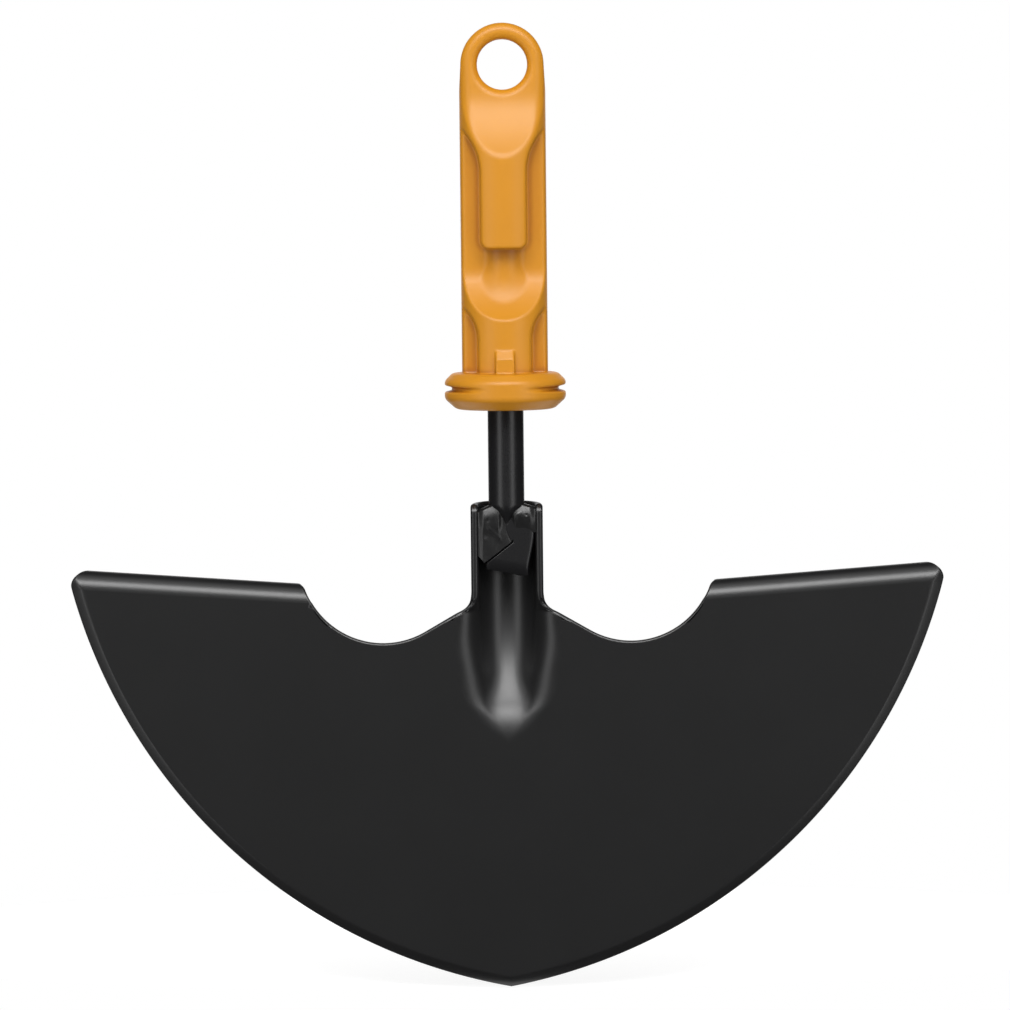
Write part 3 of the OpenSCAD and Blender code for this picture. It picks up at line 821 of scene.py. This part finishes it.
# %% [markdown]
# Two welds hold the bar in the channel. A bead is a rounded fill between two walls, so each is a height
# field: how far it stands in front of the bar's axis. Above its crest it leans back, which catches the
# light, and below it sinks towards the flat. Faint ripples, pits and streaks are added, and a flat back,
# inside the bar and the channel, closes it.

# %% Helpers for weld beads
LEAN, CREST_Z, CREST_X = 0.41, -37.4, 3.0
LEG_LEVEL, BAR_INSET = 2.72, 0.05
BEAD_HALF, WELD_BACK = 7.62, 0.6
ROLL_BACK, ROLL_LEN = 0.8, 0.7
INNER_DROP, INNER_LEN = 1.8, 2.0


def hill(x, z, at, size, tall):
    """A smooth bump at a point of the neck, with its half widths across and along, and its height."""
    return tall * np.exp(-((x - at[0]) / size[0]) ** 2 - ((z - at[1]) / size[1]) ** 2)


def streak(off, half, tall):
    """A soft ridge along a line, from the distance off that line, its half width and its height."""
    return tall * np.exp(-(off / half) ** 2)


def hinge(u, soft):
    """Nearly 0 below zero and nearly u above it, with a round bend about as long as soft."""
    return (np.sqrt(u * u + soft * soft) + u) / 2


def blend(a, b, soft):
    """The greater of two heights, with a round join about as wide as soft."""
    return (a + b + np.sqrt((a - b) ** 2 + soft * soft)) / 2


def slab(front, back_y):
    """A closed shell: a height field's grid, the same grid set back at back_y, and a strip between."""
    rear = front.copy()
    rear[..., 1] = back_y
    ring = [np.concatenate([g[0], g[1:, -1], g[-1, -2::-1], g[-2:0:-1, 0]]) for g in (front, rear)]
    p0, f0 = join([front, rear[:, ::-1]])
    p1, f1 = join([np.stack(ring)], wrap=True)
    return np.concatenate([p0, p1]), np.concatenate([f0, f1 + len(p0)])


def bead(x, high, low, height, rows, roll):
    """A bead over the columns x, from the line high down to the line low. The function height gives how far
    it stands forward, and the top edge rolls back over the length roll."""
    z = high + (low - high) * np.linspace(0, 1, rows)[:, None]
    front = xyz(x, -height(x, z), z)
    front[..., 1] += ROLL_BACK * (1 - smooth((high - z) / roll)) ** 2
    return front


def bead_level(m):
    """Height of a bead's crest at the distance m from the middle: low at the leg, rising to the bar."""
    off_leg = 0.75 * once_below(m, 7.8, 1.9)
    to_bar = 0.07 * hinge(5.6 - m, 0.5)
    up_bar = 0.20 * hinge(2.6 - m, 0.8)
    return LEG_LEVEL + off_leg + to_bar + up_bar


print("crest by the leg and by the bar:", *bead_level(np.array([BEAD_HALF, CREST_X])).round(2))

# %% [markdown]
# The right weld is the plainer one: a shoulder between the bar and the leg that flows down onto the forged
# flat, with a small pit and a streak where it meets the bar's ridge.

# %% Right weld
RIGHT_TILT, RIGHT_SINK, RIGHT_FLOW = 0.12, 2.42, 4.0
RIGHT_SEAM, SEAM_RUN, SEAM_LONG = (3.2, -37.2), 0.892, 1.34
RIGHT_IN, RIGHT_TOP, RIGHT_PEAK = 0.6, -34.1, 2.65
RIGHT_LEG_FALL, RIGHT_BAR_FALL = 0.30, 0.9
RIGHT_LOW, RIGHT_LOW_RISE = -43.2, 0.9


def right_height(x, z):
    """Right bead: a shoulder that leans back above its crest, and below it flows down under the forged
    flat's surface, with a faint ripple, a pit and a streak."""
    u = z - CREST_Z + RIGHT_TILT * (x - CREST_X)
    level = bead_level(x)
    flow = (level - RIGHT_SINK) / RIGHT_FLOW * hinge(-u, 0.8)
    shoulder = level - LEAN * hinge(u, 1.4) - flow - INNER_DROP * once_below(x, 2.4, INNER_LEN)
    ripple = 0.02 * np.sin(2.3 * x + 1.2 * z)
    stand = shoulder + ripple - hill(x, z, at=(5.2, -37.6), size=(0.3, 0.3), tall=0.12)
    off_seam = (x - RIGHT_SEAM[0] + SEAM_RUN * (RIGHT_SEAM[1] - z)) / SEAM_LONG
    run_down = once_below(z, -36.4, 1.0) * once_above(z, -41.2, 1.2)
    return blend(stand, ridge(x, z) - BAR_INSET, 0.10) + streak(off_seam, half=0.4, tall=0.10) * run_down


x = np.linspace(RIGHT_IN, BEAD_HALF, 78)[None, :]
high = (RIGHT_TOP - RIGHT_LEG_FALL * np.maximum(x - RIGHT_PEAK, 0)
        - RIGHT_BAR_FALL * np.maximum(RIGHT_PEAK - x, 0))
low = RIGHT_LOW + RIGHT_LOW_RISE * once_above(x, 5.8, 1.2)
fill = slab(bead(x, high, low, right_height, rows=90, roll=ROLL_LEN), WELD_BACK)
make_piece("weld_right", fill, "weld_right", weld_coat)

# %% [markdown]
# The left weld is longer. Below its shoulder it goes on as a thin flat tongue that laps the forged end,
# with a straight slanting edge and a lip that reaches back into the slot in the bar.

# %% Left weld
LEFT_TILT, LEFT_LEAN, LEFT_SINK = 0.28, 0.8, 0.10
TONGUE, TONGUE_FALL, TONGUE_LEG = 3.02, 0.075, 0.4
TONGUE_UNDER, TONGUE_HIDE = 0.15, 3.0
DOWN_AT, DOWN_RUN = (-1.4, -36.8), 0.43
ACROSS_AT, ACROSS_RUN, ACROSS_LONG = (-5.0, -40.9), 0.853, 1.31
LEFT_IN, LEFT_TOP, LEFT_PEAK, LEFT_TURN = 1.6, -34.4, -3.0, -1.3
LEG_FALL, BAR_FALL, TURN_FALL, MIDDLE_FALL = 0.42, 0.9, 3.4, 2.2
CORNER_FALL, LEAST_TALL = 1.1, 0.05
LIP_Y, LIP_DROP = -1.4, 0.04


def left_height(x, z):
    """Left bead: a shoulder like the right one, then a flat tongue over the forged end, with a streak down
    along the bar, a low ridge across and two pits by the leg."""
    u = z - CREST_Z - LEFT_TILT * (x + CREST_X)
    shoulder = bead_level(-x) - LEFT_LEAN * LEAN * hinge(u, 1.2) - LEFT_SINK * hinge(-u, 0.8)
    shoulder = shoulder - INNER_DROP * once_above(x, -2.5, INNER_LEN)
    on_bar = np.where(x < 0, ridge(np.minimum(x, 0), z) - BAR_INSET, 0)
    stand = blend(shoulder, on_bar, 0.12)
    tongue = TONGUE - TONGUE_FALL * np.maximum(x + CREST_X, 0)
    tongue = tongue - TONGUE_LEG * once_below(x, -6.2, 1.3) + 0.03 * np.sin(1.3 * x + 0.8 * z)
    reach = 4.5 - 3.0 * once_above(x, -3.0, 1.5)
    risen = tongue - TONGUE_UNDER - TONGUE_HIDE * (1 - once_below(z, -37.0, reach))
    stand = blend(stand, risen, 0.45)
    stand = stand - (stand - tongue) * once_below(z, -39.6, 4.0)
    off_down = x - DOWN_AT[0] - DOWN_RUN * (DOWN_AT[1] - z)
    down = streak(off_down, half=0.4, tall=0.08)
    stand = stand + down * once_below(z, -36.0, 1.5) * once_above(z, -40.6, 1.5)
    off_across = (z - ACROSS_AT[1] + ACROSS_RUN * (x - ACROSS_AT[0])) / ACROSS_LONG
    across = streak(off_across, half=0.6, tall=0.14)
    stand = stand + across * once_above(x, -5.8, 1.2) * once_below(x, -1.0, 1.2)
    stand = stand - hill(x, z, at=(-5.0, -39.0), size=(0.5, 0.55), tall=0.10)
    return stand - hill(x, z, at=(-5.6, -43.0), size=(0.45, 0.7), tall=0.10)


x = np.linspace(-BEAD_HALF, LEFT_IN, 96)[None, :]
high = np.where(x < LEFT_PEAK, LEFT_TOP + LEG_FALL * (x - LEFT_PEAK),
                LEFT_TOP - BAR_FALL * (np.minimum(x, LEFT_TURN) - LEFT_PEAK))
high = high - TURN_FALL * np.clip(x - LEFT_TURN, 0, -LEFT_TURN) - MIDDLE_FALL * np.maximum(x, 0)
past_lap = x - LAP_AT[0]
low = np.where(past_lap > 0, LAP_AT[1] + LAP_SLOPE * past_lap, LAP_AT[1] - CORNER_FALL * past_lap)
low = np.minimum(low, high - LEAST_TALL)
roll = ROLL_LEN + 2.3 * once_above(x, -1.5, 2.0)
tongue = bead(x, high, low, left_height, rows=130, roll=roll)
lip = tongue[-1:] * np.array([1, 0, 1]) + np.array([0, LIP_Y, -LIP_DROP])
fill = slab(np.concatenate([tongue, lip]), WELD_BACK)
make_piece("weld_left", fill, "weld_left", weld_coat)

# %% [markdown]
# The coupling plug is one moulding with a hole, deep pockets, a latch recess and a collar, all with rounded
# edges, which no single grid of two parameters covers. A distance field does: a formula for how far a point
# is from each plain form, negative inside, that joins forms with round fillets. The surface is where it is
# zero.

# %% Round joins of distances
def add_round(a, b, r):
    """Union of two forms with a fillet of radius r in the inner corner."""
    return np.maximum(r, np.minimum(a, b)) - np.hypot(np.maximum(r - a, 0), np.maximum(r - b, 0))


def keep_round(a, b, r):
    """Overlap of two forms with the outer edge rounded at radius r. With -b the form b is cut out of a."""
    return np.minimum(-r, np.maximum(a, b)) + np.hypot(np.maximum(r + a, 0), np.maximum(r + b, 0))


print("a 1 mm fillet fills a square corner by", -add_round(0.0, 0.0, 1.0).round(3), "mm")

# %% [markdown]
# The plug slides into a handle's socket until its collar stops it: a turned rim with a sloping seat edge, a
# chamfer below, and a crescent groove on each side.

# %% Collar
COLLAR_R, COLLAR_LOW, SEAT_EDGE = 16.0, 9.6, 13.9
CHAMFER_UP, CHAMFER_IN, CHAMFER_Z = 2.8, 3.1, 6.8
CRESCENT_OFF, CRESCENT_R, CRESCENT_Z = 3.5, 17.6, 4.1
CRESCENT_HALF, CRESCENT_FLARE = 0.43, 0.25


def collar_field(x, y, z):
    """Distance from the collar's surface: the rim, cut by the seat, its sloping edge, the base and the
    chamfer, less the crescent grooves."""
    out = np.hypot(x, y)
    body = keep_round(out - COLLAR_R, z, 0.3)
    body = keep_round(body, (out + z - SEAT_EDGE) * math.sqrt(0.5), 0.5)
    body = keep_round(body, -z - COLLAR_LOW, 0.3)
    chamfer = CHAMFER_UP * (out - COLLAR_R) + CHAMFER_IN * (-z - CHAMFER_Z)
    body = keep_round(body, chamfer / math.hypot(CHAMFER_UP, CHAMFER_IN), 0.6)
    side = np.hypot(np.abs(x) + CRESCENT_OFF, y) - CRESCENT_R
    mouth = np.abs(z + CRESCENT_Z) - (CRESCENT_HALF + CRESCENT_FLARE * np.maximum(side, 0))
    return keep_round(body, -keep_round(-side, mouth, 0.35), 0.4)


print("collar", 2 * COLLAR_R, "mm across")

# %% [markdown]
# Above the collar the plug is round, cut back to a cross: a web with a round boss down its middle, a foot
# in front with a hollow ramp, and a raised land in front and behind. The front land's lower edge is the
# catch for a latch. Scoops thin the top to a flat lug with the hanging hole, and a key rib on the seat sets
# the turn.

# %% The plug's field
PLUG_R, LUG_R, HOLE_Z, HOLE_R = 11.35, 10.95, 81.1, 6.6
LUG_HALF, WEB_HALF, BOSS_R = 4.5, 3.4, 5.7
LAND_HALF, LAND_TURN, LAND_R, CATCH_Z = 6.0, 52.7, 16.0, 32.9
FOOT_HALF, FOOT_TURN, FOOT_R, FOOT_OVER = 7.0, 9.1, 10.3, 4
SCOOP_TOP, LAND_TOP, SCOOP_HOLLOW = 72.0, 57.0, 60.0
RAMP_Z, RAMP_TOP, RAMP_HOLLOW = 14.1, 25.5, 34.0
TAPER_HALF, TAPER, TAPER_COSINE = 12.35, 0.0581, 0.998
LIP_LEAST, LIP_MORE, LIP_Z, LIP_LEN = 0.6, 1.5, 62.0, 12.0
SPLIT_Y, SPLIT_BELOW, DEEP_INSIDE = 2.0, 1.0, -9.0
RIB_HALF, RIB_HIGH, RIB_OUT, RIB_IN = 2.5, 6.2, 1.3, 6.0
LEAD_UP, LEAD_IN, LEAD_Z = 2.3, 1.3, 3.9
PLUG_LOW, BAR_GAP = 3.0, 0.02


def land_side(x, z, half, turn, r):
    """Distance to a land's side: straight below the height turn, then flaring out on an arc."""
    across = np.abs(x)
    return np.where(z < turn, across - half, r - np.hypot(across - half - r, z - turn))


def hollow_ramp(deep, z, high, low, r):
    """Distance to a ramp that is hollow along an arc of radius r, between two points of deep and z."""
    over, fall = low[0] - high[0], high[1] - low[1]
    chord = math.hypot(over, fall)
    lift = math.sqrt(r**2 - (chord / 2) ** 2) / chord
    return r - np.hypot(deep - (high[0] + low[0]) / 2 - fall * lift,
                        z - (high[1] + low[1]) / 2 - over * lift)


def rib_field(x, y, z):
    """Distance to the key rib: a small block on the seat whose front leans in towards its top."""
    front = -y - PLUG_R - RIB_OUT
    lead = (LEAD_UP * front + LEAD_IN * (z - LEAD_Z)) / math.hypot(LEAD_UP, LEAD_IN)
    rib = keep_round(np.abs(x) - RIB_HALF, np.maximum(front, lead), 0.4)
    return np.maximum(keep_round(rib, z - RIB_HIGH, 0.4), np.maximum(y + RIB_IN, -z - PLUG_LOW))


def plug_field(x, y, z):
    """Distance from the plug's surface, negative inside: lug, scoops, lands, foot, web, boss, rib and
    collar, less the hanging hole and the bar's bore."""
    out, deep = np.hypot(x, y), np.abs(y)
    barrel = out - PLUG_R
    taper = (np.abs(x) - TAPER_HALF + TAPER * (z - LAND_TOP)) * TAPER_COSINE
    shape = np.maximum(barrel, np.where(z < HOLE_Z, taper, np.hypot(x, z - HOLE_Z) - LUG_R))

    scoop = hollow_ramp(deep, z, (LUG_HALF, SCOOP_TOP), (PLUG_R, LAND_TOP), SCOOP_HOLLOW)
    lip = LIP_LEAST + LIP_MORE * once_above(z, LIP_Z, LIP_LEN)
    head = keep_round(shape, -blend(LUG_HALF - deep, -scoop, 1.2), lip)

    upper = land_side(x, z, LAND_HALF, LAND_TURN, LAND_R)
    split = np.where(z < SCOOP_TOP - SPLIT_BELOW, SPLIT_Y, DEEP_INSIDE)
    front_land = keep_round(head, np.maximum(keep_round(upper, CATCH_Z - z, 2.0), split + y), 0.6)
    rear_land = keep_round(head, np.maximum(upper, split - y), 0.6)

    ramp = hollow_ramp(-y, z, (WEB_HALF, RAMP_TOP), (PLUG_R, RAMP_Z), RAMP_HOLLOW)
    lower = land_side(x, z, FOOT_HALF, FOOT_TURN, FOOT_R)
    foot = keep_round(keep_round(barrel, ramp, 0.35), np.maximum(lower, y + SPLIT_Y), 0.75)
    foot = np.maximum(foot, z - RAMP_TOP - FOOT_OVER)

    web = keep_round(np.maximum(shape, z - SCOOP_TOP), deep - WEB_HALF, 0.8)
    boss = np.maximum(out - BOSS_R, z - LAND_TURN)
    core = add_round(web, boss, 0.9)
    plug = np.minimum(add_round(core, foot, 0.8), add_round(boss, foot, 2.2))
    plug = np.maximum(add_round(plug, np.minimum(front_land, rear_land), 0.6), shape)
    plug = keep_round(plug, HOLE_R - np.hypot(x, z - HOLE_Z), 2.1)
    plug = np.maximum(plug, -z - PLUG_LOW)
    plug = add_round(plug, rib_field(x, y, z), 0.35)
    plug = add_round(plug, collar_field(x, y, z), 0.35)
    return np.maximum(plug, np.where(z < BAR_TOP, ROD_R + BAR_GAP - out, DEEP_INSIDE))


print("distance in the hole's middle:", plug_field(0.0, 0.0, HOLE_Z).round(2), "mm")

# %% [markdown]
# The surface is found on a fine lattice, one point for each cell that it crosses, and each point then
# slides onto it along the field's own slope. Boolean cuts and bevels could make the plug too, but they
# break where so many fillets run into each other.

# %% A surface from the field
def lattice_surface(field, axes):
    """The zero surface of a field on a lattice of x, y and z values. A cell that it crosses gets one point,
    the mean of the crossings on its edges. A lattice edge whose ends differ in sign gets one quad, which
    joins the four cells round it and faces outwards."""
    value = field(*np.meshgrid(*axes, indexing="ij", sparse=True))
    shape = np.array(value.shape) - 1
    total, count = np.zeros((*shape, 3)), np.zeros(shape)
    crossings = []
    for k in range(3):
        lo = np.take(value, np.arange(shape[k]), k)
        hi = np.take(value, np.arange(1, shape[k] + 1), k)
        at = np.argwhere((lo < 0) != (hi < 0))
        key = tuple(at.T)
        part = lo[key] / (lo[key] - hi[key])
        point = np.stack([axes[d][at[:, d]] for d in range(3)], -1)
        point[:, k] += part * (axes[k][at[:, k] + 1] - axes[k][at[:, k]])
        a, b = [d for d in range(3) if d != k]
        cells = []
        for da, db in ((0, 0), (1, 0), (1, 1), (0, 1)):
            cell = at.copy()
            cell[:, a] -= da
            cell[:, b] -= db
            spot = tuple(cell.T)
            np.add.at(total, spot, point)
            np.add.at(count, spot, 1)
            cells.append(np.ravel_multi_index(spot, shape))
        quad = np.stack(cells, -1)
        flip = (lo[key] < 0) != (k == 1)
        crossings.append(np.where(flip[:, None], quad[:, ::-1], quad))
    used = count.ravel() > 0
    number = np.cumsum(used) - 1
    points = total.reshape(-1, 3)[used] / count.ravel()[used, None]
    return points, number[np.concatenate(crossings)]


def slide_on(points, field, rounds=3, step=0.01, most=0.25, least=0.2):
    """Moves points along the field's slope until the field there is zero: by its value over the slope's
    square, or over least, and by no more than most in a round."""
    for _ in range(rounds):
        slope = np.stack([(field(*(points + d).T) - field(*(points - d).T)) / (2 * step)
                          for d in np.eye(3) * step], -1)
        move = field(*points.T) / np.maximum((slope**2).sum(1), least)
        points = points - np.clip(move, -most, most)[:, None] * slope
    return points


# %% Plug
PITCH, COLLAR_PITCH = 0.45, 0.27
ACROSS_MOST, SHIFT_X, SHIFT_Y = 16.7, 0.011, 0.017
COLLAR_FROM, COLLAR_TO, STEM_FROM, STEM_TO = -10.2, 0.6, 0.7, 92.9

across = np.arange(-ACROSS_MOST, ACROSS_MOST + 0.01, PITCH)
collar_heights = np.arange(COLLAR_FROM, COLLAR_TO, COLLAR_PITCH)
heights = np.concatenate([collar_heights, np.arange(STEM_FROM, STEM_TO, PITCH)])
points, faces = lattice_surface(plug_field, [across + SHIFT_X, across + SHIFT_Y, heights])
shell = slide_on(points, plug_field), faces
plug = make_piece("coupling_plug", shell, "coupling_plug", orange)

# %% [markdown]
# The hollows get a painted shade: the orange itself is made darker there. A little way out from an open
# surface the field is that way, and in a hollow less, because another wall is near. That share goes into the
# attribute that the finish reads.

# %% Painted shade in the plug's hollows
FEEL = 2.6
OPEN_FROM, OPEN_RANGE, HOLLOW_UNDER = 0.85, 0.8, 0.6

felt = read_points(plug.data, "co") / MM + FEEL * read_points(plug.data, "normal")
free = plug_field(*felt.T) / FEEL
# painted shade: each point's share of hollow, which darkens the orange there
hollow = plug.data.attributes.new("hollow", "FLOAT", "POINT")
hollow.data.foreach_set("value", once_below(free, OPEN_FROM, OPEN_RANGE))
print("hollow share", (free < HOLLOW_UNDER).mean().round(3))
